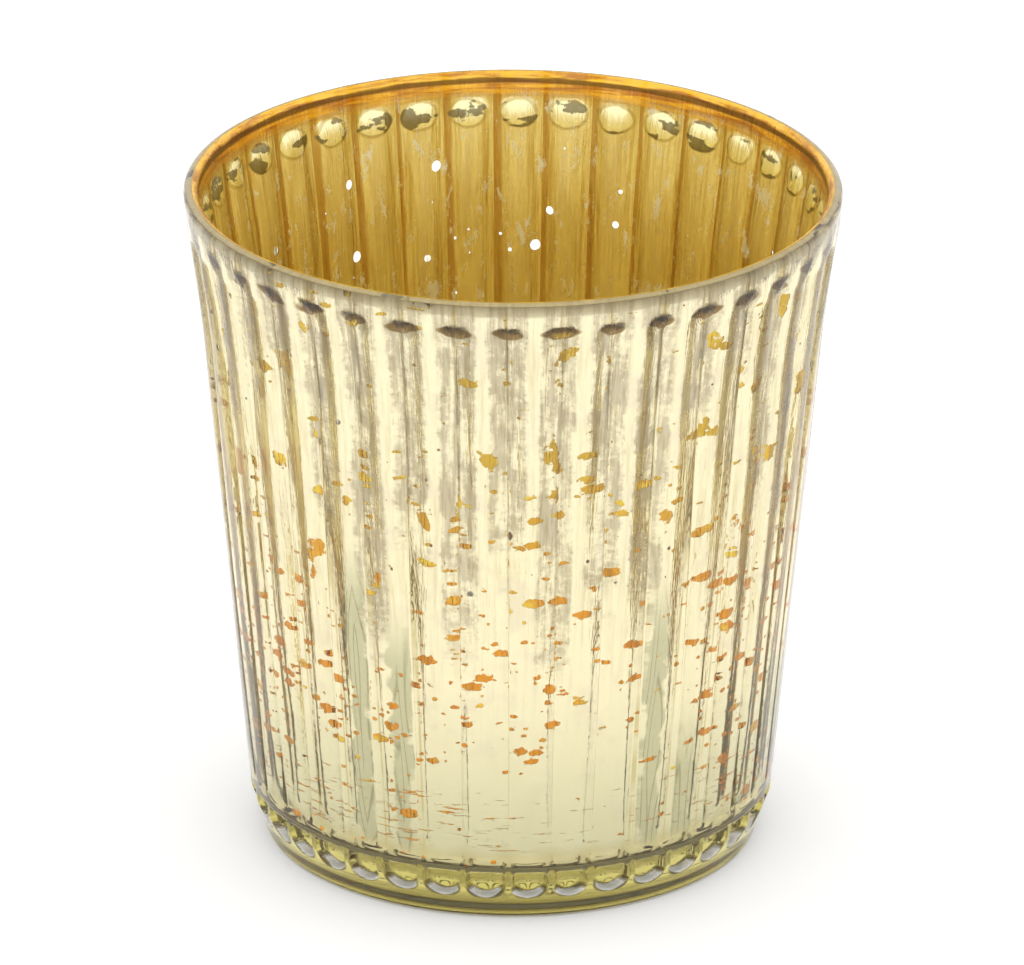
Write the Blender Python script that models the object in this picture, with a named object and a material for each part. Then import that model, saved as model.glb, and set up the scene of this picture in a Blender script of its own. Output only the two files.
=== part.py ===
"""Ribbed mercury-glass tealight holder with its tealight. Metres, +Z up, origin at the centre of the foot."""

import math
from collections import namedtuple

import bmesh
import bpy

# Driving dimensions of the glass cup
HEIGHT = 0.0764
RIM_RADIUS = 0.0365  # the bead of the rim, the widest place
WALL_RADIUS_TOP = 0.0361  # crest of the ribs, extended to the full height
WALL_RADIUS_FOOT = 0.0288  # crest of the ribs, extended down to the table
WALL_TOP = 0.0018
WALL_FOOT = 0.0026
FLUTES = 38
VALLEY_DEPTH = 0.0007  # the narrow valleys between the ribs, outside
RIDGE_DEPTH = 0.00045  # the ridges that the valleys push up inside
RIM_BAND = 0.0030  # smooth band under the lip, outside and inside
FLARE = 0.0005  # the wall opens by this much more between the next two heights
FLARE_LOW = 0.78 * HEIGHT
FLARE_HIGH = 0.97 * HEIGHT
VALLEY_END = 0.0010  # a valley fades out over this height at each end

# Foot
TOE_HEIGHT = 0.0064  # the ribs end in rounded toes here
SCOOP_LOW = 0.0026
SCOOP_DEPTH = 0.0014
FOOT_RADIUS = 0.0273  # outer edge of the flat ring that the cup stands on
FOOT_RING = 0.0042  # width of that ring
FOOT_RECESS = 0.0008
CAVITY_FLOOR = 0.0061
CAVITY_CORNER = 0.0014

# Coatings: drawn thicker than the real films, with a gap between neighbours
GAP = 0.0003
COAT = 0.00015
COAT_DROP = 0.0009  # the coatings stop this far below the lip

# Tealight
TEALIGHT_RADIUS = 0.0190
TEALIGHT_HEIGHT = 0.0155
TEALIGHT_WALL = 0.0004
TEALIGHT_BEAD = 0.0006
WAX_HEIGHT = 0.0118
SUSTAINER_RADIUS = 0.0062
SUSTAINER_PLATE = 0.0004
COLLAR_RADIUS = 0.0016
COLLAR_HEIGHT = 0.0032
WICK_RADIUS = 0.0008
WICK_ABOVE_WAX = 0.0065
WICK_LEAN = 0.0012
TEALIGHT_SIDES = 40

OUTER_KINDS = ("valley", "flank", "rib", "flank")
INNER_KINDS = ("valley", "rib")

# A level of the cup: radius and height, and how far it is pushed in at each kind of place round it
Level = namedtuple("Level", "radius height valley flank rib", defaults=(0.0, 0.0, 0.0))


def clear_scene():
    for item in list(bpy.data.objects):
        bpy.data.objects.remove(item, do_unlink=True)


def material(name, colour, roughness, metallic=0.0, transmission=0.0):
    made = bpy.data.materials.new(name)
    made.use_nodes = True
    shader = made.node_tree.nodes["Principled BSDF"]
    shader.inputs["Base Color"].default_value = (*colour, 1.0)
    shader.inputs["Roughness"].default_value = roughness
    shader.inputs["Metallic"].default_value = metallic
    shader.inputs["Transmission Weight"].default_value = transmission
    return made


def outer_radius(height):
    """Radius of the ribs' crests at a height."""
    opening = min(max((height - FLARE_LOW) / (FLARE_HIGH - FLARE_LOW), 0.0), 1.0)
    straight = WALL_RADIUS_FOOT + (WALL_RADIUS_TOP - WALL_RADIUS_FOOT) * height / HEIGHT
    return straight + FLARE * opening


def inner_radius(height):
    """Radius of the cavity between its ridges at a height."""
    return outer_radius(height) - WALL_FOOT - (WALL_TOP - WALL_FOOT) * height / HEIGHT


def fluted(level, kinds):
    """Points round one level of the cup, with a valley facing -Y."""
    points = []
    for index in range(FLUTES * len(kinds)):
        angle = 2 * math.pi * index / (FLUTES * len(kinds)) - math.pi / 2
        radius = level.radius - getattr(level, kinds[index % len(kinds)])
        points.append((radius * math.cos(angle), radius * math.sin(angle), level.height))
    return points


def circle(radius, height, centre_x=0.0, sides=TEALIGHT_SIDES):
    if radius == 0:
        return [(centre_x, 0.0, height)]
    angles = [2 * math.pi * index / sides for index in range(sides)]
    return [(centre_x + radius * math.cos(a), radius * math.sin(a), height) for a in angles]


def stitch(bm, lower, upper):
    """Faces between two neighbouring loops: equal, one twice as fine as the other, or a single point."""
    if len(lower) < len(upper):
        for face in stitched(upper, lower):
            bm.faces.new(face[::-1])
    else:
        for face in stitched(lower, upper):
            bm.faces.new(face)


def stitched(fine, coarse):
    count = len(fine)
    for i in range(count):
        here, after = fine[i], fine[(i + 1) % count]
        if len(coarse) == 1:
            yield (here, after, coarse[0])
        elif len(coarse) == count:
            yield (here, after, coarse[(i + 1) % count], coarse[i])
        elif i % 2 == 0:
            yield (here, after, coarse[i // 2])
        else:
            following = coarse[(i // 2 + 1) % len(coarse)]
            yield (here, after, following)
            yield (here, following, coarse[i // 2])


def solid(name, loops, finish):
    """One closed body from loops of points that run from the bottom centre, up the outside and down the inside."""
    bm = bmesh.new()
    rings = [[bm.verts.new(point) for point in loop] for loop in loops]
    for lower, upper in zip(rings, rings[1:]):
        stitch(bm, lower, upper)
    bmesh.ops.recalc_face_normals(bm, faces=bm.faces)
    mesh = bpy.data.meshes.new(name)
    bm.to_mesh(mesh)
    bm.free()
    mesh.shade_smooth()
    mesh.set_sharp_from_angle(angle=math.radians(35))
    made = bpy.data.objects.new(name, mesh)
    mesh.materials.append(finish)
    bpy.context.scene.collection.objects.link(made)
    return made


def foot_levels():
    """From the recess under the cup, round the foot and up over the scoops to the ribs' toes."""
    scoop_top = TOE_HEIGHT - 0.0004
    scoop_middle = (SCOOP_LOW + scoop_top) / 2
    scooped = [
        Level(0.0286, SCOOP_LOW + 0.0008, flank=0.5 * SCOOP_DEPTH, rib=0.8 * SCOOP_DEPTH),
        Level(0.0291, scoop_middle + 0.0004, flank=0.7 * SCOOP_DEPTH, rib=SCOOP_DEPTH),
        Level(0.0293, scoop_top, flank=0.7 * SCOOP_DEPTH, rib=SCOOP_DEPTH),
    ]
    return [
        Level(FOOT_RADIUS - FOOT_RING - 0.0012, FOOT_RECESS),
        Level(FOOT_RADIUS - FOOT_RING, 0.0),
        Level(FOOT_RADIUS, 0.0),
        Level(FOOT_RADIUS + 0.0005, 0.0005),
        Level(0.0284, SCOOP_LOW),
        *scooped,
        Level(outer_radius(TOE_HEIGHT), TOE_HEIGHT + 0.0003, valley=0.0003, rib=0.0002),
    ]


def wall_levels():
    """The ribbed wall, from the toes up to the smooth band."""
    low, high = TOE_HEIGHT + 0.0012, HEIGHT - RIM_BAND
    levels = [
        Level(outer_radius(height), height, valley=VALLEY_DEPTH, flank=0.22 * VALLEY_DEPTH)
        for height in (low, FLARE_LOW, high - VALLEY_END)
    ]
    return levels + [Level(outer_radius(high), high)]


def rim_levels():
    """The beaded lip, from the band outside to the band inside."""
    return [
        Level(RIM_RADIUS, HEIGHT - 0.0015),
        Level(RIM_RADIUS - 0.0003, HEIGHT - 0.0005),
        Level(RIM_RADIUS - 0.0009, HEIGHT),
        Level(RIM_RADIUS - 0.0015, HEIGHT - 0.0003),
    ]


def cavity_levels(inset=0.0, drop=COAT_DROP):
    """The inside of the cup from the top down to the floor, moved inwards by inset."""
    band = HEIGHT - RIM_BAND
    ridge_top = band - VALLEY_END
    ridge_foot = CAVITY_FLOOR + CAVITY_CORNER + 0.0015
    levels = [Level(inner_radius(height) - inset, height) for height in (HEIGHT - drop, band)]
    levels += [
        Level(inner_radius(height) - inset, height, valley=RIDGE_DEPTH)
        for height in (ridge_top, FLARE_LOW, ridge_foot)
    ]
    corner_height = CAVITY_FLOOR + CAVITY_CORNER
    corner_centre = inner_radius(corner_height) - CAVITY_CORNER
    corner_radius = CAVITY_CORNER - inset
    for degrees in (0, 40, 90):
        turn = math.radians(degrees)
        radius = corner_centre + corner_radius * math.cos(turn)
        levels.append(Level(radius, corner_height - corner_radius * math.sin(turn)))
    return levels


def cavity_loops(inset, from_top=True):
    levels = cavity_levels(inset)
    loops = [fluted(level, INNER_KINDS) for level in levels] + [[(0.0, 0.0, levels[-1].height)]]
    return loops if from_top else loops[::-1]


def make_glass_cup():
    outside = foot_levels() + wall_levels() + rim_levels()
    loops = [[(0.0, 0.0, FOOT_RECESS)]] + [fluted(level, OUTER_KINDS) for level in outside]
    finish = material("clear_glass", (0.86, 0.88, 0.74), 0.03, transmission=1.0)
    return solid("glass_cup", loops + cavity_loops(0.0), finish)


def make_coating(name, inset, finish):
    """A thin skin that follows the cavity, open at the top."""
    loops = cavity_loops(inset, from_top=False) + cavity_loops(inset + COAT)
    return solid(name, loops, finish)


def make_coatings():
    silver = material("antique_silver", (0.88, 0.84, 0.72), 0.12, metallic=1.0)
    gold = material("gold_lacquer", (0.80, 0.55, 0.14), 0.18, metallic=1.0)
    return [
        make_coating("silver_lining", GAP, silver),
        make_coating("gold_lacquer", 2 * GAP + COAT, gold),
    ]


def tealight_floor():
    """Height that the tealight stands at."""
    return CAVITY_FLOOR + 3 * GAP + 2 * COAT


def make_tealight_cup():
    base, top = tealight_floor(), tealight_floor() + TEALIGHT_HEIGHT
    inside = TEALIGHT_RADIUS - TEALIGHT_WALL
    bead = [
        (TEALIGHT_RADIUS + TEALIGHT_BEAD, top - TEALIGHT_BEAD),
        (TEALIGHT_RADIUS + 0.7 * TEALIGHT_BEAD, top - 0.2 * TEALIGHT_BEAD),
        (TEALIGHT_RADIUS, top),
        (inside, top - 0.5 * TEALIGHT_BEAD),
    ]
    profile = [
        (0.0, base),
        (TEALIGHT_RADIUS - 0.0012, base),
        (TEALIGHT_RADIUS - 0.0003, base + 0.0005),
        (TEALIGHT_RADIUS, base + 0.0016),
        (TEALIGHT_RADIUS, top - 1.8 * TEALIGHT_BEAD),
        *bead,
        (inside, base + 0.0016),
        (inside - 0.0010, base + TEALIGHT_WALL),
        (0.0, base + TEALIGHT_WALL),
    ]
    finish = material("tealight_aluminium", (0.80, 0.80, 0.79), 0.32, metallic=1.0)
    return solid("tealight_cup", [circle(*point) for point in profile], finish)


def wax_bottom():
    return tealight_floor() + TEALIGHT_WALL + GAP


def make_wax():
    """A disc of wax with a pocket for the wick's sustainer and a bore for the wick."""
    low = wax_bottom()
    high = low + WAX_HEIGHT
    outside = TEALIGHT_RADIUS - TEALIGHT_WALL - GAP
    pocket = low + SUSTAINER_PLATE + GAP
    collar_pocket = low + COLLAR_HEIGHT + GAP
    bore = WICK_RADIUS + GAP
    profile = [
        (SUSTAINER_RADIUS + GAP, low),
        (outside - 0.0012, low),
        (outside, low + 0.0014),
        (outside, high + 0.0003),
        (outside - 0.0010, high),
        (0.006, high - 0.0002),
        (0.003, high - 0.0006),
        (bore, high - 0.0004),
        (bore, collar_pocket),
        (COLLAR_RADIUS + GAP, collar_pocket),
        (COLLAR_RADIUS + GAP, pocket),
        (SUSTAINER_RADIUS + GAP, pocket),
        (SUSTAINER_RADIUS + GAP, low),
    ]
    loops = [circle(*point) for point in profile]
    finish = material("tealight_wax", (0.92, 0.89, 0.80), 0.45)
    made = solid("tealight_wax", loops, finish)
    weld_first_to_last(made)
    return made


def weld_first_to_last(made):
    """Joins the two loops that lie on each other where a ring-shaped profile closes."""
    bm = bmesh.new()
    bm.from_mesh(made.data)
    bmesh.ops.remove_doubles(bm, verts=bm.verts, dist=0.000001)
    bmesh.ops.recalc_face_normals(bm, faces=bm.faces)
    bm.to_mesh(made.data)
    bm.free()


def make_sustainer():
    """A tin disc with a short collar that grips the wick."""
    low = wax_bottom()
    bore = WICK_RADIUS + GAP
    profile = [
        (bore, low),
        (SUSTAINER_RADIUS, low),
        (SUSTAINER_RADIUS, low + SUSTAINER_PLATE),
        (COLLAR_RADIUS + 0.0003, low + SUSTAINER_PLATE),
        (COLLAR_RADIUS, low + SUSTAINER_PLATE + 0.0004),
        (COLLAR_RADIUS, low + COLLAR_HEIGHT),
        (bore, low + COLLAR_HEIGHT),
        (bore, low),
    ]
    loops = [circle(*point, sides=TEALIGHT_SIDES // 2) for point in profile]
    finish = material("tin_plate", (0.70, 0.70, 0.68), 0.38, metallic=1.0)
    made = solid("wick_sustainer", loops, finish)
    weld_first_to_last(made)
    return made


def make_wick():
    """A cotton wick, straight in its bore and leaning a little above the wax."""
    low = wax_bottom()
    surface = low + WAX_HEIGHT
    loops = [circle(0.0, low), circle(WICK_RADIUS, low, sides=10), circle(WICK_RADIUS, surface, sides=10)]
    for step in range(1, 5):
        share = step / 4
        height = surface + WICK_ABOVE_WAX * share
        loops.append(circle(WICK_RADIUS, height, centre_x=WICK_LEAN * share**2, sides=10))
    loops.append(circle(0.0, surface + WICK_ABOVE_WAX + 0.0003, centre_x=WICK_LEAN))
    return solid("wick", loops, material("cotton_wick", (0.88, 0.86, 0.80), 0.9))


def make_tealight():
    """The tealight's pieces, parented to an empty on the line along which it lifts out."""
    lift = bpy.data.objects.new("tealight_lift", None)
    lift.location = (0.0, 0.0, tealight_floor())
    bpy.context.scene.collection.objects.link(lift)
    bpy.context.view_layer.update()
    for made in (make_tealight_cup(), make_wax(), make_sustainer(), make_wick()):
        made.parent = lift
        made.matrix_parent_inverse = lift.matrix_world.inverted()


clear_scene()
make_glass_cup()
make_coatings()
make_tealight()
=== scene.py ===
"""Looks of a ribbed mercury-glass tealight holder: glass, worn silver and gold films, tealight, studio."""

import math

import bpy
import numpy as np
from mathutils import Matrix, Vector


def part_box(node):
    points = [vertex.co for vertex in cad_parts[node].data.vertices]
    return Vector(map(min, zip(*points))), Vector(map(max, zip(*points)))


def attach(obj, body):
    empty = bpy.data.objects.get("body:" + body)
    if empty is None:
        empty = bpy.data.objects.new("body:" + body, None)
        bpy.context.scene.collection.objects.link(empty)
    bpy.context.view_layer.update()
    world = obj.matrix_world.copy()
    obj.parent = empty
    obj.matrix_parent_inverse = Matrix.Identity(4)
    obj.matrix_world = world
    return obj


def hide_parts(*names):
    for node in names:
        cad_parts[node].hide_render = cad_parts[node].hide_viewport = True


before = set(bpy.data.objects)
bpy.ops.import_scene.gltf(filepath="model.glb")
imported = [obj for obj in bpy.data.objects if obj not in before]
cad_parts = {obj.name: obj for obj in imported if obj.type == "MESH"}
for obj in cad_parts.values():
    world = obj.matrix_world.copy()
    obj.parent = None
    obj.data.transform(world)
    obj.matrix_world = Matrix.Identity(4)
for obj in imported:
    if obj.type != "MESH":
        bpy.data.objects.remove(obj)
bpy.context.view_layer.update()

# The cup's size, from the frame
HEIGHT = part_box("glass_cup")[1][2]
RIM_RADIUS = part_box("glass_cup")[1][0]
TEALIGHT_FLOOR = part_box("tealight_cup")[0][2]
POOL = TEALIGHT_FLOOR - 0.0001  # the lacquer has pooled to this height on the floor

# Glass, in metres
FLUTES = 38
SEGMENTS = 20  # across one flute, closest at its valley
PITCH = 2 * math.pi / FLUTES
WALL_RADIUS_TOP = 0.0361
WALL_RADIUS_FOOT = 0.0288
WALL_TOP = 0.0018
WALL_FOOT = 0.0026
FLARE = 0.00050
VALLEY_DEPTH = 0.00075
VALLEY_RUN_OUT = 0.0026  # the valleys get shallower over this height under the band
VALLEY_WANDER = 0.035  # in pitches
RIDGE_DEPTH = 0.00050
NOSE_LENGTH = 0.0028
RIM_BAND = 0.0028
RIBS_END = HEIGHT - RIM_BAND
TOE_HEIGHT = 0.0066
SCOOP_LOW = 0.0026
SCOOP_RISE = 0.0017  # from the bottom of a pocket to the middle of its round end
SCOOP_DEPTH = 0.0013
SCOOP_HALF_WIDTH = 0.43  # in pitches
SHOULDER = 0.0045  # the foot widens up to here, and meets the straight wall
FOOT_RADIUS = 0.0273
FOOT_RING = 0.0042
FOOT_ROUND = 0.00045
FOOT_RECESS = 0.0008
CAVITY_FLOOR = 0.0054
CAVITY_CORNER = 0.0013
LIP_RADIUS = 0.00080
LIP_INSIDE = 0.00002  # keeps the rounded lip just inside the cup's radius
OUTER_UNEVENNESS = 0.00004
INNER_UNEVENNESS = 0.00007

# Films bonded to the inside of the glass: their outer faces lie in the glass, so no air shows between
SILVER_INSET = -0.00006
GOLD_INSET = -0.00002
FILM = 0.00003
GOLD_FILM = 0.00006
SILVER_START = 40.0  # degrees round the lip, from outside over the top: the films begin here
GOLD_START = 98.0

# Tealight
FOIL_BEAD = 0.00055
FOIL = 0.00025
FOIL_SIDE = 0.0006  # the foil's side stands this far in from its bead
FOIL_CORNER = 0.0012
STRAND_RADIUS = 0.00042
STRAND_OFFSET = 0.00036
STRAND_TWISTS = 2.6

# Heights that the materials go by, in millimetres
MM = 1000.0
TOP = MM * HEIGHT
BAND = MM * RIBS_END  # the smooth band under the lip begins here
UNDER_NOSES = BAND - 3.5
PINHOLES_FROM = 40.0
FLAKES_AROUND = 31.0  # most flakes are near this height
POOLED = MM * POOL
CORNER = MM * CAVITY_FLOOR

# Colours of the silver, seen through the glass
SILVER = {
    "bright": (0.91, 0.84, 0.62),
    "streak": (0.78, 0.69, 0.47),
    "bloom": (0.80, 0.70, 0.56),
    "low": (0.67, 0.64, 0.44),
    "haze": (0.68, 0.60, 0.45),
    "haze streak": (0.50, 0.41, 0.25),
    "brown": (0.52, 0.37, 0.10),
    "brown grain": (0.17, 0.13, 0.05),
    "contour": (0.30, 0.285, 0.15),
    "olive": (0.52, 0.50, 0.33),
    "corner": (0.60, 0.53, 0.28),
    "valley": (0.62, 0.52, 0.24),
    "nose": (0.30, 0.165, 0.012),
    "nose streak": (0.17, 0.095, 0.006),
    "tarnish": (0.90, 0.76, 0.46),
    "tarnish streak": (0.70, 0.54, 0.24),
    "lip": (0.80, 0.64, 0.30),
    "lip streak": (0.45, 0.35, 0.13),
}
# Colours of the lacquer, into the cup and, as amber, outwards
GOLD = {
    "bright": (0.98, 0.92, 0.56),
    "streak": (0.76, 0.58, 0.17),
    "hair": (0.97, 0.92, 0.68),
    "crown": (1.0, 0.97, 0.74),
    "crease": (0.40, 0.20, 0.02),
    "brown": (0.62, 0.36, 0.05),
    "smear": (0.98, 0.96, 0.84),
    "oval edge": (0.52, 0.40, 0.10),
    "oval": (0.98, 0.92, 0.52),
    "blot": (0.32, 0.27, 0.13),
    "blot dark": (0.12, 0.09, 0.04),
    "ring": (0.48, 0.16, 0.004),
    "ring light": (0.92, 0.50, 0.03),
    "line": (0.13, 0.06, 0.015),
    "pool": (0.86, 0.60, 0.14),
    "pool light": (0.95, 0.80, 0.36),
    "amber": (0.76, 0.30, 0.003),
    "amber high": (0.60, 0.38, 0.03),
    "amber yellow": (0.85, 0.62, 0.06),
}


# ---------------------------------------------------------------- surfaces


def smooth(low, high, value):
    """0 below low, 1 above high, easing between."""
    share = np.clip((value - low) / (high - low), 0.0, 1.0)
    return share * share * (3 - 2 * share)


def angles_round():
    """Angles round the cup, crowded towards the valleys, with a valley at -Y."""
    steps = np.arange(SEGMENTS) / SEGMENTS
    crowded = steps - 0.55 * np.sin(2 * math.pi * steps) / (2 * math.pi)
    flutes = np.arange(FLUTES)[:, None] + crowded[None, :]
    return flutes.ravel() * PITCH - math.pi / 2


ANGLES = angles_round()


def waves(angle, height, seed, count=10, across=9.0, along=0.020):
    """Gentle unevenness of hand-worked glass, about -1 to 1, repeating once round."""
    draw = np.random.default_rng(seed)
    total = np.zeros(np.broadcast(angle, height).shape)
    for _ in range(count):
        turns = draw.integers(1, int(across) + 1) * draw.choice([-1, 1])
        rise = draw.uniform(-1, 1) * 2 * math.pi / along
        total += np.sin(turns * angle + rise * height + draw.uniform(0, 2 * math.pi))
    return total / math.sqrt(count)


def from_valley(angle, height):
    """Distance to the nearest valley as a share of the pitch, 0 to 0.5, with slightly unsteady valleys."""
    flute = (angle + math.pi / 2) / PITCH + VALLEY_WANDER * waves(angle, height, 11, across=30, along=0.050)
    return np.abs(flute - np.round(flute))


def outer_radius(height):
    """The straight taper of the outside, without the flare."""
    return WALL_RADIUS_FOOT + (WALL_RADIUS_TOP - WALL_RADIUS_FOOT) * height / HEIGHT


def inner_radius(height):
    """Inside of the glass between its ridges: the wall gets thinner upwards."""
    return outer_radius(height) + flare(height) - WALL_FOOT - (WALL_TOP - WALL_FOOT) * height / HEIGHT


def flare(height):
    """The wall opens a little more steeply just under the rim."""
    return FLARE * smooth(0.78 * HEIGHT, 0.97 * HEIGHT, height)


def rounded_end(height, end, length):
    """1 inside a groove, falling steeply to 0 at its end, like the end of a ball cutter."""
    share = np.clip((height - (end - length)) / length, 0.0, 1.0)
    return np.sqrt(1 - share**2)


def valley(angle, height):
    """How far the outside is pressed in at its valleys."""
    across = from_valley(angle, height)
    lower = 1 - smooth(0.25 * HEIGHT, 0.95 * HEIGHT, height)
    sharpness = 2.2 + 9.0 * lower
    blunt = 0.010 + 0.060 * (1 - lower)
    soft = np.sqrt(across**2 + blunt**2) - blunt
    shape = np.clip(1 - 2 * soft, 0, 1) ** sharpness
    depth = VALLEY_DEPTH * (1 - 0.76 * lower) * shape
    cut = VALLEY_DEPTH * smooth(RIBS_END - VALLEY_RUN_OUT, RIBS_END, height)
    foot = VALLEY_DEPTH * (1 - smooth(TOE_HEIGHT + 0.0002, TOE_HEIGHT + 0.0016, height))
    return np.clip(depth - cut - foot, 0, None)


def ridge(angle, height):
    """How far the valleys stand into the cup on its inside: broad at the top, narrow lower down."""
    across = from_valley(angle, height)
    upper = smooth(0.30 * HEIGHT, 0.90 * HEIGHT, height)
    broad = 1 - smooth(0.16, 0.44, across)
    narrow = 0.14 * np.exp(-((across / 0.10) ** 2))
    shape = upper * broad + (1 - upper) * narrow
    top = RIBS_END - 0.0004
    cut = RIDGE_DEPTH * (1 - rounded_end(height, top, NOSE_LENGTH))
    foot = RIDGE_DEPTH * (1 - smooth(CAVITY_FLOOR + 0.0020, CAVITY_FLOOR + 0.0050, height))
    return np.clip(RIDGE_DEPTH * shape - cut - foot, 0, None)


def scoop(angle, height):
    """How far the U-shaped pockets under the ribs' toes are pressed in."""
    across = 0.5 - from_valley(angle, height)
    middle = SCOOP_LOW + SCOOP_RISE
    below = np.clip(middle - height, 0, None) / SCOOP_RISE
    reach = np.sqrt((across / SCOOP_HALF_WIDTH) ** 2 + below**2)
    ledge = 1 - smooth(0.80, 1.0, reach)
    toe = 1 - smooth(TOE_HEIGHT - 0.0011, TOE_HEIGHT - 0.0005, height)
    round_floor = 0.8 + 0.2 * (1 - np.clip(across / SCOOP_HALF_WIDTH, 0, 1) ** 2)
    return SCOOP_DEPTH * ledge * toe * round_floor


def arc(centre_radius, centre_height, radius, start, end, steps):
    """Points of an arc in the cup's section, as (radius, height), angles in degrees from +radius."""
    turns = np.radians(np.linspace(start, end, steps))
    return [(centre_radius + radius * math.cos(t), centre_height + radius * math.sin(t)) for t in turns]


def foot_profile():
    """From the recess under the cup round the foot, up to where the scoops begin."""
    ring = FOOT_RADIUS - FOOT_RING
    recess = [(0.006, FOOT_RECESS), (ring - 0.0022, FOOT_RECESS)]
    recess += [(ring - 0.0012, 0.75 * FOOT_RECESS), (ring - 0.0005, 0.2 * FOOT_RECESS)]
    flat = [(ring, 0.0), (ring + 0.5 * FOOT_RING, 0.0), (FOOT_RADIUS, 0.0)]
    edge = arc(FOOT_RADIUS, FOOT_ROUND, FOOT_ROUND, -75, 0, 6)
    side = [(foot_radius(height), height) for height in np.linspace(0.0008, 0.0022, 4)]
    return recess + flat + edge + side


def wall_heights():
    scoops = np.append(np.linspace(0.0025, 0.0043, 16), [0.0048, 0.0053])
    toes = np.linspace(TOE_HEIGHT - 0.0011, TOE_HEIGHT + 0.0018, 15)
    middle = np.linspace(TOE_HEIGHT + 0.0030, RIBS_END - 0.0036, 14)
    high = np.linspace(RIBS_END - 0.0028, RIBS_END + 0.0004, 11)
    return np.concatenate([scoops, toes, middle, high])


def foot_radius(height):
    """Radius of the foot's side, which widens upwards to the shoulder."""
    lowest = FOOT_RADIUS + FOOT_ROUND
    share = np.clip((height - FOOT_ROUND) / (SHOULDER - FOOT_ROUND), 0.0, 1.0)
    return lowest + (outer_radius(SHOULDER) - lowest) * share**1.3


def envelope(height):
    """Outer radius between the wall's features."""
    return foot_radius(height) if height < SHOULDER else outer_radius(height) + flare(height)


def lip_arc(start, steps, inset=0.0):
    """Points over the lip from an angle to where the inside wall begins."""
    centre = RIM_RADIUS - LIP_RADIUS - LIP_INSIDE
    return arc(centre, HEIGHT - LIP_RADIUS - GOLD_FILM, LIP_RADIUS + inset, start, 165, steps)


def lip_profile():
    """The beaded rim, from the band outside over the lip."""
    top = HEIGHT - LIP_RADIUS - GOLD_FILM
    outer = [(RIM_RADIUS - 0.00011, top - 0.0009), (RIM_RADIUS - 0.00005, top - 0.0004)]
    return outer + lip_arc(0, 11)


def cavity_heights():
    high = np.linspace(RIBS_END + 0.0004, RIBS_END - 0.0036, 14)
    middle = np.linspace(RIBS_END - 0.0046, CAVITY_FLOOR + 0.0060, 13)
    low = np.linspace(CAVITY_FLOOR + 0.0048, CAVITY_FLOOR + CAVITY_CORNER + 0.0002, 4)
    return np.concatenate([high, middle, low])


def outer_ring(height):
    uneven = OUTER_UNEVENNESS * waves(ANGLES, height, 3, across=16, along=0.030)
    pressed = valley(ANGLES, height) + scoop(ANGLES, height)
    radius = envelope(height) - pressed + uneven * smooth(0.003, 0.012, height)
    return radius, np.full_like(ANGLES, height)


def inner_ring(height, inset):
    uneven = INNER_UNEVENNESS * waves(ANGLES, height, 7, across=26, along=0.022)
    radius = inner_radius(height) - ridge(ANGLES, height) - uneven - inset
    return radius, np.full_like(ANGLES, height)


def plain_ring(radius, height):
    return np.full_like(ANGLES, radius), np.full_like(ANGLES, height)


def cavity_rings(inset=0.0, lowest=0.0):
    """Rings down the inside of the cup and over its floor, moved in by inset, none below lowest."""
    rings = [inner_ring(height, inset) for height in cavity_heights()]
    corner = CAVITY_FLOOR + CAVITY_CORNER
    centre = inner_radius(corner) - CAVITY_CORNER
    bottom = arc(centre, corner, CAVITY_CORNER - inset, 0, -90, 7)
    bottom += [(share * centre, CAVITY_FLOOR + inset) for share in (0.7, 0.35, 0.1)]
    return rings + [plain_ring(radius, max(height, lowest)) for radius, height in bottom]


def cup_rings():
    rings = [plain_ring(*point) for point in foot_profile()]
    rings += [outer_ring(height) for height in wall_heights()]
    rings += [plain_ring(*point) for point in lip_profile()]
    return rings + cavity_rings()


def film_rings(start, inset, lowest=0.0):
    """Rings of one face of a film: over the lip, down the inside of the cup and over its floor."""
    return [plain_ring(*point) for point in lip_arc(start, 8, inset)] + cavity_rings(inset, lowest)


def smooth_body(name, points, faces):
    """A smooth-shaded object in the scene."""
    mesh = bpy.data.meshes.new(name)
    mesh.from_pydata(points, [], faces)
    mesh.shade_smooth()
    made = bpy.data.objects.new(name, mesh)
    bpy.context.scene.collection.objects.link(made)
    return made


def closed_mesh(name, rings):
    """One closed body from rings that run from the axis to the axis."""
    count = len(ANGLES)
    radius = np.array([ring[0] for ring in rings])
    height = np.array([ring[1] for ring in rings])
    points = np.stack([radius * np.cos(ANGLES), radius * np.sin(ANGLES), height], axis=-1).reshape(-1, 3)
    first = np.arange(len(rings) - 1)[:, None] * count + np.arange(count)[None, :]
    after = np.arange(len(rings) - 1)[:, None] * count + (np.arange(count)[None, :] + 1) % count
    quads = np.stack([first, after, after + count, first + count], axis=-1).reshape(-1, 4)
    poles = np.array([[0, 0, height[0].mean()], [0, 0, height[-1].mean()]])
    points = np.vstack([points, poles])
    start, end = len(points) - 2, len(points) - 1
    turn = np.arange(count)
    last = (len(rings) - 1) * count
    fans = [(start, (i + 1) % count, i) for i in turn]
    fans += [(last + i, last + (i + 1) % count, end) for i in turn]
    return smooth_body(name, points.tolist(), quads.tolist() + fans)


# ---------------------------------------------------------------- materials


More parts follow.
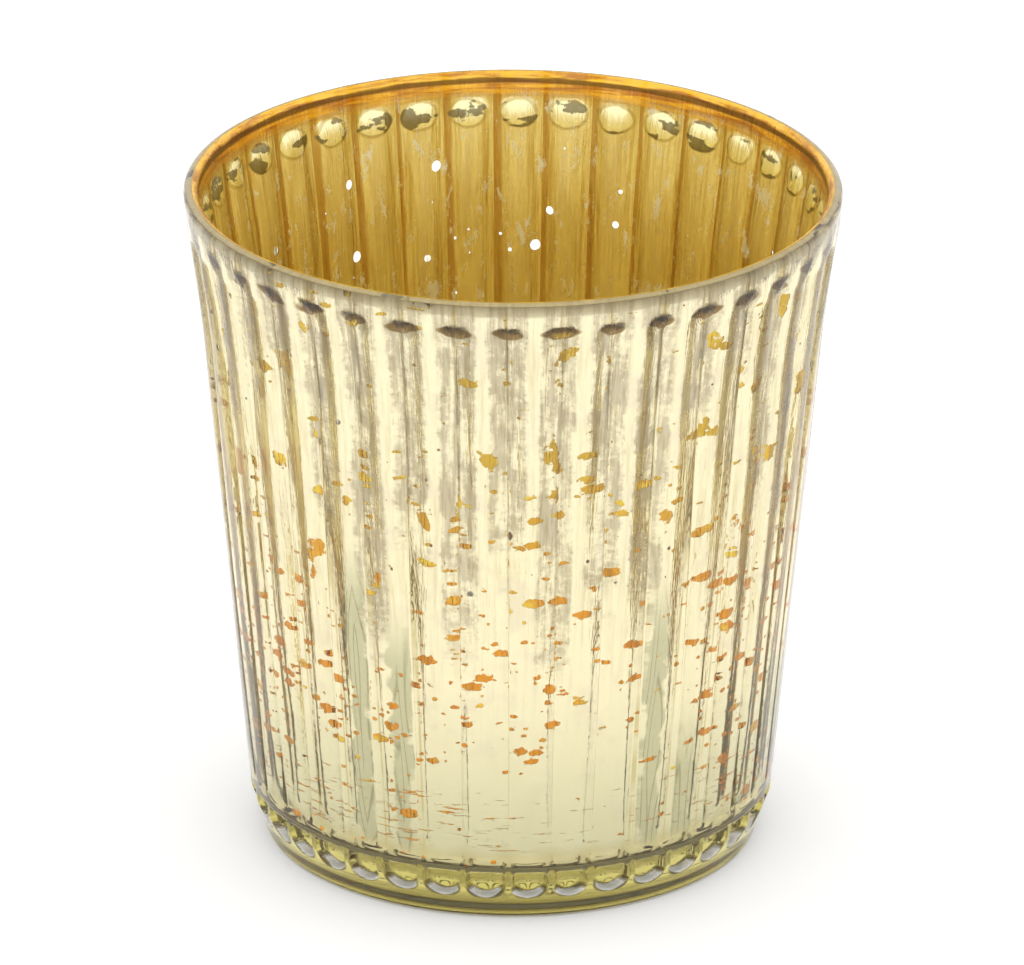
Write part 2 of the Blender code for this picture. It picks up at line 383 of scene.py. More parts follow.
class Graph:
    """Builds one material's node tree out of short calls."""

    def __init__(self, name):
        self.material = bpy.data.materials.new(name)
        self.material.use_nodes = True
        self.tree = self.material.node_tree
        self.shader = self.tree.nodes["Principled BSDF"]
        self.output = self.tree.nodes["Material Output"]

    def put(self, socket, value):
        if isinstance(value, bpy.types.NodeSocket):
            self.tree.links.new(value, socket)
        else:
            socket.default_value = value

    def math(self, operation, first, second=0.0, third=0.0):
        node = self.tree.nodes.new("ShaderNodeMath")
        node.operation = operation
        for socket, value in zip(node.inputs, (first, second, third)):
            self.put(socket, value)
        return node.outputs[0]

    def times(self, first, second):
        return self.math("MULTIPLY", first, second)

    def times_plus(self, first, second, third):
        return self.math("MULTIPLY_ADD", first, second, third)

    def plus(self, first, second):
        return self.math("ADD", first, second)

    def minus(self, first, second):
        return self.math("SUBTRACT", first, second)

    def most(self, first, second):
        return self.math("MAXIMUM", first, second)

    def absolute(self, value):
        return self.math("ABSOLUTE", value)

    def under(self, value, limit):
        """1 where value is below limit, else 0."""
        return self.math("LESS_THAN", value, limit)

    def over(self, value, limit):
        """1 where value is above limit, else 0."""
        return self.math("GREATER_THAN", value, limit)

    def squares(self, first, second):
        return self.plus(self.times(first, first), self.times(second, second))

    def step(self, value, low, high, to_low=0.0, to_high=1.0):
        """Eases from to_low to to_high as value goes from low to high."""
        node = self.tree.nodes.new("ShaderNodeMapRange")
        node.interpolation_type = "SMOOTHSTEP"
        for name, given in (("Value", value), ("From Min", low), ("From Max", high)):
            self.put(node.inputs[name], given)
        self.put(node.inputs["To Min"], to_low)
        self.put(node.inputs["To Max"], to_high)
        return node.outputs[0]

    def vector(self, x, y, z):
        node = self.tree.nodes.new("ShaderNodeCombineXYZ")
        for socket, value in zip(node.inputs, (x, y, z)):
            self.put(socket, value)
        return node.outputs[0]

    def noise(self, where, scale=1.0, detail=2.0, roughness=0.5):
        node = self.tree.nodes.new("ShaderNodeTexNoise")
        given = {"Vector": where, "Scale": scale, "Detail": detail, "Roughness": roughness}
        for name, value in given.items():
            self.put(node.inputs[name], value)
        return node.outputs["Fac"]

    def random(self, where):
        node = self.tree.nodes.new("ShaderNodeTexWhiteNoise")
        self.put(node.inputs["Vector"], where)
        return node.outputs["Value"]

    def cells(self, where, randomness=1.0):
        """(distance to the nearest cell's point, that cell's own random colour as three numbers)."""
        node = self.tree.nodes.new("ShaderNodeTexVoronoi")
        self.put(node.inputs["Vector"], where)
        self.put(node.inputs["Scale"], 1.0)
        self.put(node.inputs["Randomness"], randomness)
        split = self.tree.nodes.new("ShaderNodeSeparateColor")
        self.tree.links.new(node.outputs["Color"], split.inputs[0])
        return node.outputs["Distance"], split.outputs[0], split.outputs[1], split.outputs[2]

    def mix(self, share, first, second):
        node = self.tree.nodes.new("ShaderNodeMix")
        node.data_type = "RGBA"
        self.put(node.inputs["Factor"], share)
        self.put(node.inputs["A"], (*first, 1.0) if isinstance(first, tuple) else first)
        self.put(node.inputs["B"], (*second, 1.0) if isinstance(second, tuple) else second)
        return node.outputs["Result"]

    def bump(self, height, distance, strength=1.0):
        node = self.tree.nodes.new("ShaderNodeBump")
        self.put(node.inputs["Height"], height)
        self.put(node.inputs["Distance"], distance)
        self.put(node.inputs["Strength"], strength)
        self.tree.links.new(node.outputs["Normal"], self.shader.inputs["Normal"])

    def place(self):
        """Object coordinates as (x, y, z) and the point's (angle in pitches, height in millimetres)."""
        node = self.tree.nodes.new("ShaderNodeTexCoord")
        split = self.tree.nodes.new("ShaderNodeSeparateXYZ")
        self.tree.links.new(node.outputs["Object"], split.inputs[0])
        x, y, z = split.outputs
        angle = self.math("ARCTAN2", y, x)
        flute = self.math("MULTIPLY_ADD", angle, 1 / PITCH, 0.5 + FLUTES)
        height = self.math("MULTIPLY", z, MM)
        return (x, y, z), flute, height


def principled(graph, **values):
    names = {
        "colour": "Base Color", "metallic": "Metallic", "roughness": "Roughness", "ior": "IOR",
        "alpha": "Alpha", "transmission": "Transmission Weight", "subsurface": "Subsurface Weight",
        "emission": "Emission Color", "glow": "Emission Strength",
    }
    for name, value in values.items():
        graph.put(graph.shader.inputs[names[name]], (*value, 1.0) if isinstance(value, tuple) else value)


class Wall:
    """Places and noises on the cup's wall that several materials share."""

    def __init__(self, graph):
        self.graph = graph
        self.xyz, self.flute, self.height = graph.place()
        # The nearest valley, and how far the point is to its side, in pitches
        self.number = graph.math("ROUND", self.flute)
        self.side = graph.minus(self.flute, self.number)
        self.across = graph.absolute(self.side)
        # The rib between two valleys, and how far the point is from its middle
        self.rib_number = graph.math("FLOOR", self.flute)
        self.rib = graph.minus(graph.minus(self.flute, self.rib_number), 0.5)
        self.radius = graph.times(graph.math("SQRT", graph.squares(self.xyz[0], self.xyz[1])), MM)
        self.millimetres = graph.vector(*[graph.times(v, MM) for v in self.xyz])
        self.fine = graph.noise(self.millimetres, 1.5, 5.0, 0.65)
        self.broad = graph.noise(self.millimetres, 0.28, 3.0, 0.55)
        # Towards the cup's left and right sides; the silver uses this to widen painted shade there
        self.sideways = graph.step(graph.absolute(self.xyz[0]), 0.35 * RIM_RADIUS, 0.75 * RIM_RADIUS)

    def stretched(self, across, up, seed, detail=3.0, roughness=0.5):
        """Noise with its own scales round the cup, in pitches, and up it, in millimetres."""
        graph = self.graph
        where = graph.vector(graph.times(self.flute, across), graph.times(self.height, up), seed)
        return graph.noise(where, 1.0, detail, roughness)

    def each(self, seed):
        """A random number from 0 to 1 for each valley."""
        return self.graph.random(self.graph.vector(self.number, seed, 0.5))

    def each_rib(self, seed):
        """A random number from 0 to 1 for each rib between two valleys."""
        return self.graph.random(self.graph.vector(self.rib_number, seed, 0.5))

    def spots(self, across, up, seed, wobble=0.0):
        """Cells round the wall, their outlines made ragged by wobble."""
        graph = self.graph
        bent = graph.times_plus(self.fine, wobble, -0.5 * wobble)
        x = graph.times_plus(self.flute, across, bent)
        y = graph.times_plus(self.height, up, graph.times(bent, 1.4))
        return graph.cells(graph.vector(x, y, seed))

    def pinholes(self):
        """1 where both films have a small round hole."""
        graph = self.graph
        distance, chance, size, _ = self.spots(1.25, 0.21, 3.7)
        radius = graph.times(graph.step(size, 0.1, 1.0, 0.04, 0.14), graph.under(chance, 0.85))
        round_holes = graph.under(distance, radius)
        distance, chance, size, _ = self.spots(6.0, 0.85, 33.0, 0.4)
        clustered = graph.step(self.stretched(2.2, 0.06, 35.0, 3.0), 0.50, 0.66, 0.0, 0.42)
        radius = graph.times(graph.step(size, 0.0, 1.0, 0.07, 0.20), graph.under(chance, clustered))
        holes = graph.most(round_holes, graph.under(distance, radius))
        low_enough = graph.under(self.height, UNDER_NOSES)
        return graph.times(graph.times(holes, low_enough), graph.over(self.height, PINHOLES_FROM))

    def between(self, low, high, ease, value=None):
        """1 between two heights in millimetres, easing off over ease."""
        graph = self.graph
        value = self.height if value is None else value
        rises = graph.step(value, low - ease, low)
        return graph.times(rises, graph.step(value, high, high + ease, 1.0, 0.0))


def glass_material():
    """Clear, faintly green pressed glass, a little worn, with painted highlight crescents in its pockets.
    """
    graph = Graph("clear_glass")
    wall = Wall(graph)
    # Painted highlight: along the bottom of each pocket, in a crescent, the glass is a little frosted and
    # partly opaque white, standing in for lamp reflections
    below = graph.times_plus(wall.height, -1 / (MM * SCOOP_RISE), 1 + SCOOP_LOW / SCOOP_RISE)
    below = graph.most(below, 0.0)
    sideways = graph.times(wall.rib, 1 / SCOOP_HALF_WIDTH)
    reach = graph.math("SQRT", graph.squares(below, sideways))
    crescent = graph.times(graph.step(reach, 0.76, 0.86), graph.step(reach, 0.98, 1.03, 1.0, 0.0))
    crescent = graph.times(crescent, graph.step(below, 0.30, 0.60))
    worn = graph.times_plus(wall.fine, 0.02, 0.006)
    principled(graph, colour=(0.985, 0.985, 0.965), ior=1.5)
    principled(graph, roughness=graph.times_plus(crescent, 0.30, worn))
    # Painted highlight: less transmission in the crescent lets the white base colour show
    principled(graph, transmission=graph.times_plus(crescent, -0.55, 1.0))
    absorb = graph.tree.nodes.new("ShaderNodeVolumeAbsorption")
    absorb.inputs["Color"].default_value = (0.82, 0.78, 0.40, 1.0)
    absorb.inputs["Density"].default_value = 60.0
    graph.tree.links.new(absorb.outputs[0], graph.output.inputs["Volume"])
    return graph.material


def flakes(wall):
    """1 where the silver alone has flaked off: level lenses, specks, ragged patches, low smears."""
    graph = wall.graph
    patchy = wall.stretched(0.30, 0.045, 2.0, 1.0)
    level = graph.absolute(graph.minus(wall.height, FLAKES_AROUND))
    dense = graph.step(level, 3.0, 30.0, 0.95, 0.16)
    dense = graph.times(dense, graph.step(patchy, 0.38, 0.60, 0.22, 1.5))
    distance, chance, size, _ = wall.spots(1.7, 0.66, 9.1, 0.55)
    radius = graph.times(graph.step(size, 0.0, 1.0, 0.08, 0.40), graph.under(chance, dense))
    lenses = graph.under(distance, radius)
    distance, chance, size, _ = wall.spots(4.5, 1.3, 4.4, 0.6)
    near = graph.step(wall.across, 0.03, 0.20, 1.6, 0.45)
    few = graph.times(graph.times(dense, near), 0.62)
    radius = graph.times(graph.step(size, 0.0, 1.0, 0.12, 0.36), graph.under(chance, few))
    specks = graph.under(distance, radius)
    # Long ragged patches high on the wall, and small ones close under the lip
    patches = graph.times_plus(wall.fine, 0.16, wall.stretched(1.25, 0.15, 61.0, 2.0))
    tall = wall.between(38.0, UNDER_NOSES, 4.0)
    patches = graph.over(graph.times(patches, tall), 0.735)
    chips = graph.times_plus(wall.fine, 0.16, wall.stretched(0.75, 0.60, 63.0, 2.0))
    under_lip = graph.over(wall.height, BAND + 0.6)
    chips = graph.over(graph.times(chips, under_lip), 0.715)
    patches = graph.most(patches, chips)
    # Level smears just above the foot
    smear = wall.stretched(1.1, 1.9, 6.0, 4.0, 0.7)
    low = graph.times(wall.between(8.5, 15.0, 3.0), graph.step(patchy, 0.30, 0.50, 0.93, 1.0))
    smears = graph.over(graph.times(smear, low), 0.592)
    gone = graph.most(lenses, specks)
    return graph.most(graph.most(gone, patches), smears)


def silver_material():
    """The worn mirror film: streaked, hazy, brown and olive in places, with its losses cut by alpha; the
    olive bands, the brown lines' widening at the sides, the valley lines, the corner and the noses are
    painted shade.
    """
    graph = Graph("antique_silver")
    wall = Wall(graph)
    streaks = wall.stretched(9.0, 0.11, 5.0, 4.0, 0.6)
    thin_streaks = wall.stretched(26.0, 0.30, 8.0, 2.0)
    ragged = graph.times_plus(wall.fine, 0.5, graph.times(wall.broad, 0.5))
    upper = graph.step(wall.height, 20.0, 42.0, 0.15, 1.0)
    streaked = graph.times(graph.step(streaks, 0.42, 0.72), upper)
    colour = graph.mix(streaked, SILVER["bright"], SILVER["streak"])
    colour = graph.mix(graph.step(wall.broad, 0.50, 0.70, 0.0, 0.45), colour, SILVER["bloom"])
    colour = graph.mix(graph.step(wall.height, 6.0, 30.0, 0.90, 0.0), colour, SILVER["low"])
    # Hazy panels on the broad ridges high on the wall
    bottom = graph.times_plus(wall.each(1.5), 34.0, 33.0)
    fades = graph.minus(graph.times_plus(ragged, 30.0, wall.height), bottom)
    tall = graph.step(fades, 10.0, 19.0)
    edge = graph.times_plus(ragged, -0.34, wall.across)
    panel = graph.step(edge, 0.165, 0.250, 1.0, 0.0)
    patchy = graph.step(graph.times_plus(streaks, 0.5, graph.times(ragged, 0.6)), 0.45, 0.61, 0.10, 1.0)
    haze = graph.times(graph.times(tall, panel), patchy)
    hazy = graph.mix(graph.step(thin_streaks, 0.35, 0.70), SILVER["haze"], SILVER["haze streak"])
    colour = graph.mix(graph.times(haze, 0.85), colour, hazy)
    # Brown lines down the middle of the ridges, strongest high up; widened towards the cup's left and right
    # sides as painted shade
    wander = graph.times_plus(ragged, 0.10, graph.times_plus(wall.each(4.5), 0.12, -0.11))
    width = graph.times_plus(wall.sideways, 0.15, graph.times_plus(wall.each(10.5), 0.06, 0.06))
    line = graph.step(graph.absolute(graph.minus(wall.side, wander)), 0.01, width, 1.0, 0.0)
    reach = graph.times_plus(wall.each(5.5), 36.0, 30.0)
    lower = graph.step(graph.minus(graph.times_plus(ragged, 24.0, wall.height), reach), 8.0, 26.0)
    # Brown lines: real streaks, with painted shade where they widen at the sides
    worn = graph.times(graph.times(line, lower), graph.step(streaks, 0.36, 0.60, 0.30, 1.0))
    grain = graph.times_plus(thin_streaks, 0.6, graph.times(wall.broad, 0.5))
    brown = graph.mix(graph.step(grain, 0.45, 0.65), SILVER["brown"], SILVER["brown grain"])
    colour = graph.mix(graph.times(worn, 0.82), colour, brown)
    # Painted shade: olive bands with contour lines low on some ribs, wider towards the cup's left and right
    # sides, standing in for reflections of darker surroundings
    depth = graph.times_plus(graph.absolute(wall.rib), 0.7, wall.stretched(0.8, 0.034, 12.0, 1.0))
    contour = graph.absolute(graph.math("SINE", graph.times(depth, 26.0)))
    leaning = graph.plus(wall.rib, graph.times_plus(wall.broad, 0.7, -0.35))
    wide = graph.times_plus(wall.sideways, 0.14, 0.16)
    band = graph.step(graph.minus(graph.absolute(leaning), wide), 0.0, 0.10, 1.0, 0.0)
    upto = graph.minus(wall.height, graph.times_plus(wall.each_rib(18.5), 26.0, 10.0))
    painted_shade_bands = graph.times(band, graph.step(upto, 0.0, 10.0, 1.0, 0.0))
    painted_shade_bands = graph.times(painted_shade_bands, graph.over(wall.each_rib(731.5), 0.57))
    olive = graph.mix(graph.step(contour, 0.0, 0.5), SILVER["contour"], SILVER["olive"])
    colour = graph.mix(graph.times(painted_shade_bands, 0.85), colour, olive)
    # Painted shade: duller, darker gold in the corner above the floor, where shade falls
    above = graph.times_plus(wall.across, 1.4, wall.height)
    corner = graph.step(above, CORNER + 1.7, CORNER + 4.0, 1.0, 0.0)
    corner = graph.times(corner, graph.step(wall.radius, 22.5, 25.0))
    colour = graph.mix(graph.times(corner, 0.85), colour, SILVER["corner"])
    # Painted shade: a crisp darker line along each valley crease
    crisp = graph.step(wall.across, 0.012, 0.030, 1.0, 0.0)
    crisp = graph.times(crisp, graph.step(wall.height, 38.0, 52.0, 1.0, 0.0))
    crisp = graph.times(crisp, graph.step(wall.stretched(1.0, 0.16, 45.0, 3.0), 0.36, 0.56, 0.20, 0.80))
    colour = graph.mix(crisp, colour, SILVER["valley"])
    # Painted shade: dark lenses on the rounded noses at the top of the ridges, as they read through the
    # glass
    middle = BAND - 1.1
    tilted = graph.times(wall.side, graph.times_plus(wall.each(6.5), 3.0, -1.5))
    up = graph.times(graph.plus(graph.minus(wall.height, middle), tilted), 1 / 0.60)
    sideways = graph.math("DIVIDE", wall.side, graph.times_plus(wall.each(9.5), 0.16, 0.27))
    lens = graph.times_plus(wall.fine, 0.5, graph.squares(up, sideways))
    nose = graph.step(lens, 0.85, 1.30, 1.0, 0.0)
    dark = graph.mix(streaks, SILVER["nose"], SILVER["nose streak"])
    colour = graph.mix(graph.times(nose, 0.92), colour, dark)
    # Tarnish towards the lip
    tarnish = graph.step(graph.times_plus(ragged, 3.0, wall.height), TOP - 0.6, TOP + 1.0)
    warm = graph.mix(streaks, SILVER["tarnish"], SILVER["tarnish streak"])
    colour = graph.mix(graph.times(tarnish, 0.6), colour, warm)
    top = graph.step(wall.height, TOP - 0.9, TOP - 0.4)
    golden = graph.mix(streaks, SILVER["lip"], SILVER["lip streak"])
    colour = graph.mix(graph.times(top, 0.8), colour, golden)
    roughness = graph.times_plus(haze, 0.26, graph.times_plus(wall.broad, 0.10, 0.04))
    dull = graph.step(wall.height, TOP - 2.4, TOP - 1.5, 0.0, 0.5)
    roughness = graph.most(roughness, dull)
    gone = graph.most(wall.pinholes(), flakes(wall))
    principled(graph, colour=colour, roughness=roughness, metallic=1.0)
    principled(graph, alpha=graph.minus(1.0, gone))
    graph.bump(graph.times_plus(graph.times(thin_streaks, upper), 0.4, wall.broad), 0.00025, 0.35)
    return graph.material


def gold_material():
    """Brushed lacquer into the cup, and amber outwards, where it shows through the silver's losses."""
    graph = Graph("gold_lacquer")
    wall = Wall(graph)
    streaks = wall.stretched(12.0, 0.10, 1.0, 4.0, 0.6)
    thin_streaks = wall.stretched(34.0, 0.22, 2.5, 2.0)
    # Inside: brushed gold, with painted shade darkening the creases between the ridges and a painted
    # highlight on their crowns
    inside = graph.mix(graph.step(streaks, 0.35, 0.68), GOLD["bright"], GOLD["streak"])
    inside = graph.mix(graph.step(thin_streaks, 0.52, 0.68, 0.0, 0.6), inside, GOLD["hair"])
    # Painted highlight: lighter crowns along the ridges
    crown = graph.step(wall.across, 0.05, 0.34, 1.0, 0.0)
    crown = graph.times(crown, graph.step(streaks, 0.40, 0.60, 0.0, 0.45))
    inside = graph.mix(crown, inside, GOLD["crown"])
    # Painted shade: darker creases between the ridges
    pushed = graph.times_plus(wall.each(2.5), 0.10, graph.times_plus(wall.broad, 0.08, wall.side))
    crease = graph.most(graph.step(pushed, 0.44, 0.51), graph.step(pushed, -0.46, -0.41, 1.0, 0.0))
    crease = graph.times(crease, graph.step(streaks, 0.30, 0.60, 0.95, 0.6))
    inside = graph.mix(crease, inside, graph.mix(wall.broad, GOLD["crease"], GOLD["brown"]))
    smears = graph.step(wall.stretched(3.0, 0.20, 22.0, 5.0, 0.7), 0.56, 0.65)
    smears = graph.times(smears, graph.step(wall.height, POOLED + 0.5, POOLED + 2.0))
    inside = graph.mix(graph.times(smears, 0.75), inside, GOLD["smear"])
    # Painted highlight: pale ovals on the rounded noses at the top of the ridges, in a darker painted rim;
    # dark and worn on some of them
    middle = BAND - 1.7
    up = graph.times(graph.minus(wall.height, middle), 1 / 1.5)
    sideways = graph.times(wall.side, 1 / 0.36)
    oval = graph.times_plus(wall.broad, 1.2, graph.squares(up, sideways))
    inside = graph.mix(graph.step(oval, 1.70, 2.10, 0.6, 0.0), inside, GOLD["oval edge"])
    inside = graph.mix(graph.step(oval, 1.40, 1.52, 0.85, 0.0), inside, GOLD["oval"])
    blots = graph.times_plus(wall.fine, 0.25, wall.stretched(1.1, 0.55, 41.0, 2.0))
    dark = graph.times(graph.step(blots, 0.66, 0.69), graph.step(oval, 1.70, 1.95, 1.0, 0.0))
    worn = graph.mix(wall.fine, GOLD["blot"], GOLD["blot dark"])
    inside = graph.mix(graph.times(dark, 0.9), inside, worn)
    # Under the lip: a dark line, then orange brushed rings; the lighter rings are painted reflections
    rings = wall.stretched(0.8, 1.5, 17.0, 4.0, 0.6)
    below_lip = graph.times_plus(rings, 1.6, wall.height)
    lip = graph.step(below_lip, TOP - 2.6, TOP - 0.9)
    ringed = graph.mix(graph.step(rings, 0.38, 0.60), GOLD["ring"], GOLD["ring light"])
    inside = graph.mix(graph.times(lip, 0.9), inside, ringed)
    wavy = graph.times_plus(rings, 0.6, graph.minus(wall.height, 0.3))
    line = wall.between(TOP - 1.15, TOP - 0.75, 0.25, wavy)
    inside = graph.mix(graph.times(line, 0.85), inside, GOLD["line"])
    # On the floor the lacquer has pooled, without the brush's streaks
    pooled = graph.step(wall.height, POOLED + 0.1, POOLED + 1.6, 1.0, 0.0)
    puddle = graph.mix(graph.step(wall.fine, 0.35, 0.65), GOLD["pool"], GOLD["pool light"])
    puddle = graph.mix(graph.step(wall.broad, 0.45, 0.65), puddle, GOLD["brown"])
    inside = graph.mix(pooled, inside, puddle)
    # Outwards, seen where the silver has gone: amber, yellower high up
    amber = graph.mix(graph.step(wall.height, 30.0, 60.0), GOLD["amber"], GOLD["amber high"])
    amber = graph.mix(graph.step(wall.broad, 0.50, 0.72), amber, GOLD["amber yellow"])
    geometry = graph.tree.nodes.new("ShaderNodeNewGeometry")
    facing = graph.tree.nodes.new("ShaderNodeVectorMath")
    facing.operation = "DOT_PRODUCT"
    graph.tree.links.new(geometry.outputs["Normal"], facing.inputs[0])
    graph.put(facing.inputs[1], graph.vector(wall.xyz[0], wall.xyz[1], 0.0))
    outward = graph.over(facing.outputs["Value"], 0.0)
    principled(graph, colour=graph.mix(outward, inside, amber), metallic=1.0)
    # Brush marks on the wall only, in the gloss and in the surface
    brush_gloss = graph.times(streaks, graph.step(pooled, 0.2, 0.8, 1.0, 0.0))
    brush_gloss = graph.times_plus(brush_gloss, 0.30, graph.times_plus(smears, 0.2, 0.06))
    principled(graph, roughness=graph.most(graph.times(pooled, 0.22), brush_gloss))
    principled(graph, alpha=graph.minus(1.0, wall.pinholes()))
    brush_marks = graph.times(graph.times_plus(thin_streaks, 0.6, streaks), graph.minus(1.0, pooled))
    ripples = graph.times(graph.times(wall.broad, pooled), 2.0)
    graph.bump(graph.plus(brush_marks, ripples), 0.0003, 0.5)
    return graph.material


def aluminium_material():
    """Thin drawn foil: fine vertical draw lines, faint dents, duller patches."""
    graph = Graph("tealight_aluminium")
    wall = Wall(graph)
    draw = wall.stretched(40.0, 0.25, 3.0, 3.0)
    colour = graph.mix(draw, (0.70, 0.70, 0.69), (0.52, 0.52, 0.52))
    colour = graph.mix(graph.step(wall.broad, 0.5, 0.7, 0.0, 0.4), colour, (0.58, 0.57, 0.54))
    principled(graph, colour=colour, metallic=1.0, roughness=graph.times_plus(wall.broad, 0.25, 0.15))
    graph.bump(graph.times_plus(draw, 0.12, wall.broad), 0.0008, 0.6)
    return graph.material


def wax_material():
    """Ivory paraffin: soft light inside, faint mottling, a slightly greasy surface."""
    graph = Graph("tealight_wax")
    wall = Wall(graph)
    colour = graph.mix(wall.broad, (0.90, 0.87, 0.78), (0.84, 0.80, 0.68))
    colour = graph.mix(graph.step(wall.fine, 0.55, 0.75, 0.0, 0.3), colour, (0.95, 0.93, 0.86))
    roughness = graph.times_plus(wall.fine, 0.25, 0.25)
    principled(graph, colour=colour, roughness=roughness, subsurface=0.35, ior=1.44)
    graph.shader.inputs["Subsurface Radius"].default_value = (0.0035, 0.0028, 0.0018)
    graph.shader.inputs["Subsurface Scale"].default_value = 1.0
    graph.bump(graph.times_plus(wall.fine, 0.3, wall.broad), 0.0002, 0.4)
    return graph.material


def tin_material():
    """Dull tin plate, mottled."""
    graph = Graph("tin_plate")
    wall = Wall(graph)
    colour = graph.mix(wall.fine, (0.74, 0.73, 0.70), (0.55, 0.54, 0.51))
    principled(graph, colour=colour, metallic=1.0, roughness=graph.times_plus(wall.broad, 0.3, 0.25))
    graph.bump(wall.fine, 0.0001, 0.4)
    return graph.material


def cotton_material():
    """Waxed cotton: fine fibres across the strands, some of them a little yellowed."""
    graph = Graph("cotton_wick")
    wall = Wall(graph)
    fibres = graph.noise(graph.vector(*[graph.times(v, 9000.0) for v in wall.xyz]), 1.0, 3.0)
    colour = graph.mix(fibres, (0.90, 0.88, 0.82), (0.72, 0.68, 0.58))
    principled(graph, colour=colour, roughness=graph.times_plus(fibres, 0.3, 0.55), subsurface=0.1)
    graph.shader.inputs["Subsurface Radius"].default_value = (0.0008, 0.0007, 0.0005)
    graph.shader.inputs["Subsurface Scale"].default_value = 1.0
    graph.bump(fibres, 0.0001, 0.6)
    return graph.material


# ---------------------------------------------------------------- pieces


def make_glass():
    """The ribbed cup, as fine as the photo shows it."""
    made = closed_mesh("ribbed_glass", cup_rings())
    made.data.materials.append(glass_material())
    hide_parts("glass_cup")
    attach(made, "holder")


def finish_film(made, node, finish):
    """Gives a film its material and puts it in the place of its CAD node."""
    made.data.materials.append(finish)
    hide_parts(node)
    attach(made, "holder")


def make_silver():
    """A thin closed shell over the lip and down the inside of the glass."""
    rings = film_rings(SILVER_START, SILVER_INSET)[::-1] + film_rings(SILVER_START, SILVER_INSET + FILM)
    made = closed_mesh("worn_silver_film", rings)
    finish_film(made, "silver_lining", silver_material())


def make_gold():
    """A second shell, inside the silver, that fills up to a level pool on the floor."""
    rings = film_rings(GOLD_START, GOLD_INSET)[::-1] + film_rings(GOLD_START, GOLD_INSET + GOLD_FILM, POOL)
    made = closed_mesh("gold_lacquer_film", rings)
    finish_film(made, "gold_lacquer", gold_material())


def ring_list(profile, uneven=0.0, seed=0):
    """Rings of a turned profile, its radii made slightly uneven round and along."""
    rings = []
    for radius, height in profile:
        wobble = uneven * waves(ANGLES, height, seed, across=24, along=0.008)
        rings.append((radius + wobble * min(1.0, radius / 0.015), np.full_like(ANGLES, height)))
    return rings


def ride_tealight(made, node, finish):
    """Gives a piece of the tealight its material and puts it in the place of its CAD node."""
    made.data.materials.append(finish)
    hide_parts(node)
    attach(made, "tealight")


def make_foil_cup():
    """A thin drawn cup with a rolled bead round its mouth."""
    low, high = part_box("tealight_cup")
    base, top, widest = low[2], high[2], high[0]
    side = widest - FOIL_SIDE
    floor = [(0.003, base), (0.012, base), (side - 0.0016, base)]
    floor += arc(side - FOIL_CORNER, base + FOIL_CORNER, FOIL_CORNER, -80, 0, 6)
    rise = [(side, base + share * (top - base - 2.4 * FOIL_BEAD)) for share in (0.3, 0.6, 0.9, 0.98)]
    roll = arc(widest - FOIL_BEAD - 0.0001, top - FOIL_BEAD, FOIL_BEAD, -60, 170, 12)
    inside = [(side - FOIL, height) for height in (top - 2.2 * FOIL_BEAD, base + 0.006, base + 0.0014)]
    inside += [(radius, base + FOIL) for radius in (side - FOIL_CORNER, 0.012, 0.003)]
    made = closed_mesh("drawn_foil_cup", ring_list(floor + rise + roll + inside, 0.00003, 21))
    ride_tealight(made, "tealight_cup", aluminium_material())


def make_wax_fill():
    """The wax, dished a little, climbing at the foil and round the wick."""
    low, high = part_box("tealight_wax")
    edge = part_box("tealight_cup")[1][0] - FOIL_SIDE - 0.00020  # just into the foil
    top = high[2] - 0.0003
    bottom = [(0.004, low[2]), (edge - 0.0016, low[2])]
    bottom += arc(edge - 0.0014, low[2] + FOIL_CORNER, FOIL_CORNER, -80, 0, 5)
    surface = [(edge, top - 0.0004), (edge - 0.00005, top + 0.0002)]
    for share in np.linspace(0.985, 0.05, 26):
        meniscus = 0.0004 * math.exp(-((1 - share) * edge / 0.0007))
        crown = 0.0006 * math.exp(-((share * edge / 0.0014) ** 2))
        dish = 0.0005 * math.exp(-((share * edge / 0.0060) ** 2))
        surface.append((share * edge, top - 0.0002 + meniscus + crown - dish))
    made = closed_mesh("poured_wax", ring_list(bottom + surface, 0.00001, 23))
    ride_tealight(made, "tealight_wax", wax_material())


def strand(turn, low, high, lean, sides=10, steps=48):
    """One strand of the wick: points round it along its helix, as rings."""
    rings = []
    for step in range(steps + 1):
        share = step / steps
        angle = turn + share * 2 * math.pi * STRAND_TWISTS
        narrow = 1 - 0.35 * share**6
        bow = lean * max(0.0, 2 * share - 1) ** 2
        twist, thick = STRAND_OFFSET * narrow, STRAND_RADIUS * narrow
        height = low + share * (high - low)
        centre = Vector((bow + twist * math.cos(angle), twist * math.sin(angle), height))
        around = [2 * math.pi * i / sides for i in range(sides)]
        rings.append([centre + thick * Vector((math.cos(a), math.sin(a), 0)) for a in around])
    return rings


def make_braided_wick():
    """Three twisted cotton strands that lean a little above the wax."""
    low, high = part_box("wick")
    lean = high[0] - 0.0008
    points, faces = [], []
    for turn in (0, 1, 2):
        rings = strand(turn * 2 * math.pi / 3, low[2], high[2] - 0.0001, lean)
        start, sides = len(points), len(rings[0])
        points += [tuple(point) for ring in rings for point in ring]
        for row in range(len(rings) - 1):
            for i in range(sides):
                here, after = start + row * sides + i, start + row * sides + (i + 1) % sides
                faces.append((here, after, after + sides, here + sides))
        faces.append(tuple(start + i for i in range(sides))[::-1])
        faces.append(tuple(start + (len(rings) - 1) * sides + i for i in range(sides)))
    made = smooth_body("twisted_wick", points, faces)
    ride_tealight(made, "wick", cotton_material())


def finish_sustainer():
    """The sustainer is the CAD node itself, hidden in the wax, so it only gets a material."""
    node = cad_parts["wick_sustainer"]
    for slot in node.material_slots:
        slot.material = tin_material()


make_glass()
make_silver()
make_gold()
make_foil_cup()
make_wax_fill()
make_braided_wick()
finish_sustainer()


# ---------------------------------------------------------------- studio


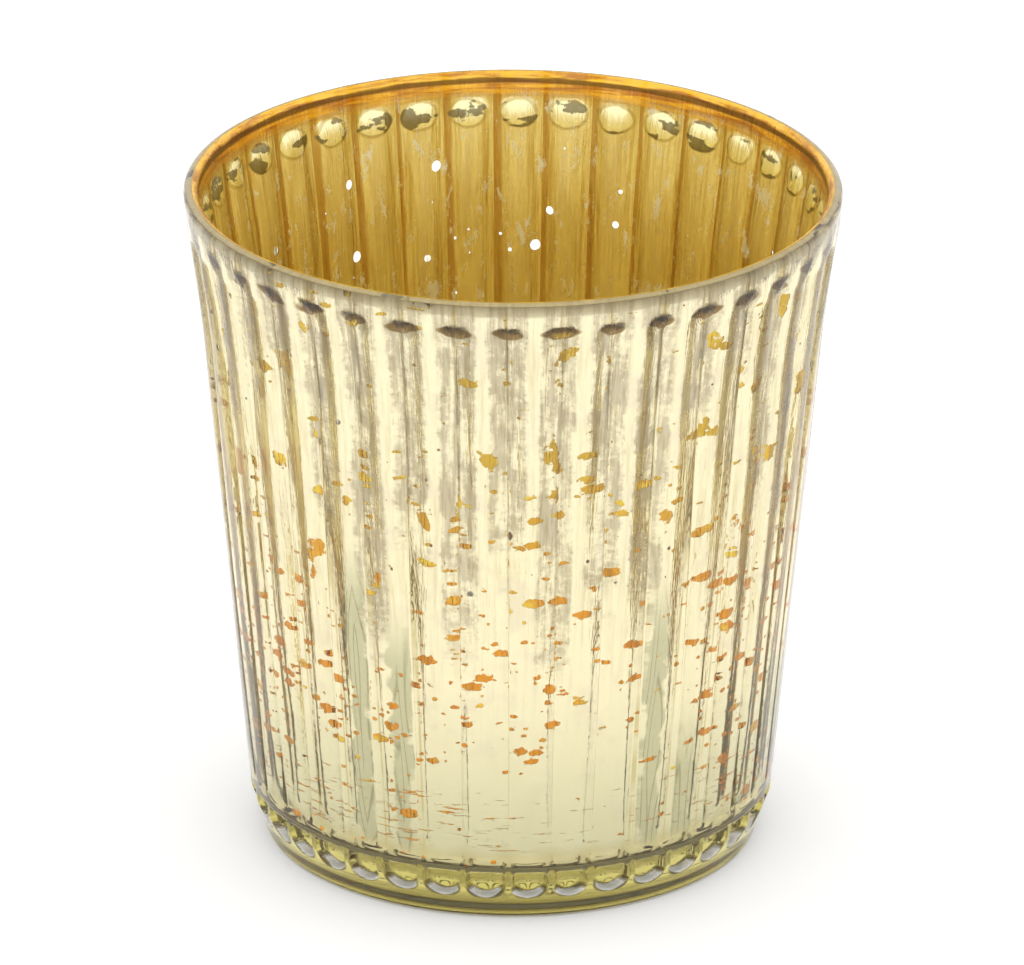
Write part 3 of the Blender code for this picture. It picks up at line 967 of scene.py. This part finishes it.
CAMERA_DISTANCE = 1.40
CAMERA_ELEVATION = 22.55  # degrees, as are the next two
CAMERA_TURN = 0.9  # so that the valley at -Y sits a little left of the middle
CAMERA_ROLL = 0.22
CAMERA_AIM = 1.112 * RIM_RADIUS  # height above the floor
LENS = 441.0
FLOOR_HALF = 3.0
FLOOR_DROP = 0.0002  # keeps the floor clear of the foot ring
FLOOR_GLOW = 0.10
WORLD_STRENGTH = 1.25
BOUNCES = 24
GLOSSY_BOUNCES = 16


def make_floor():
    half = FLOOR_HALF
    mesh = bpy.data.meshes.new("floor")
    corners = [(-half, -half, 0), (half, -half, 0), (half, half, 0), (-half, half, 0)]
    mesh.from_pydata(corners, [], [(0, 1, 2, 3)])
    floor = bpy.data.objects.new("floor", mesh)
    floor.location.z = -FLOOR_DROP
    bpy.context.scene.collection.objects.link(floor)
    graph = Graph("floor")
    principled(graph, colour=(0.96, 0.96, 0.96), roughness=0.9, emission=(1.0, 1.0, 1.0), glow=FLOOR_GLOW)
    mesh.materials.append(graph.material)


def make_world():
    world = bpy.data.worlds.new("studio")
    bpy.context.scene.world = world
    world.use_nodes = True
    tree = world.node_tree
    background = tree.nodes["Background"]
    background.inputs["Color"].default_value = (1.0, 1.0, 1.0, 1.0)
    background.inputs["Strength"].default_value = WORLD_STRENGTH


def make_camera():
    data = bpy.data.cameras.new("camera")
    data.lens = LENS
    data.clip_end = 20.0
    camera = bpy.data.objects.new("camera", data)
    bpy.context.scene.collection.objects.link(camera)
    elevation, turn = math.radians(CAMERA_ELEVATION), math.radians(CAMERA_TURN)
    target = Vector((0.0, 0.0, CAMERA_AIM))
    level = math.cos(elevation)
    away = Vector((math.sin(turn) * level, -math.cos(turn) * level, math.sin(elevation)))
    camera.location = target + CAMERA_DISTANCE * away
    camera.rotation_euler = (-away).to_track_quat("-Z", "Y").to_euler()
    camera.rotation_euler.rotate_axis("Z", math.radians(CAMERA_ROLL))
    bpy.context.scene.camera = camera


make_floor()
make_world()
make_camera()
bpy.context.scene.view_settings.view_transform = "Standard"
bpy.context.scene.cycles.max_bounces = BOUNCES
bpy.context.scene.cycles.transmission_bounces = BOUNCES
bpy.context.scene.cycles.glossy_bounces = GLOSSY_BOUNCES
bpy.context.scene.cycles.transparent_max_bounces = BOUNCES
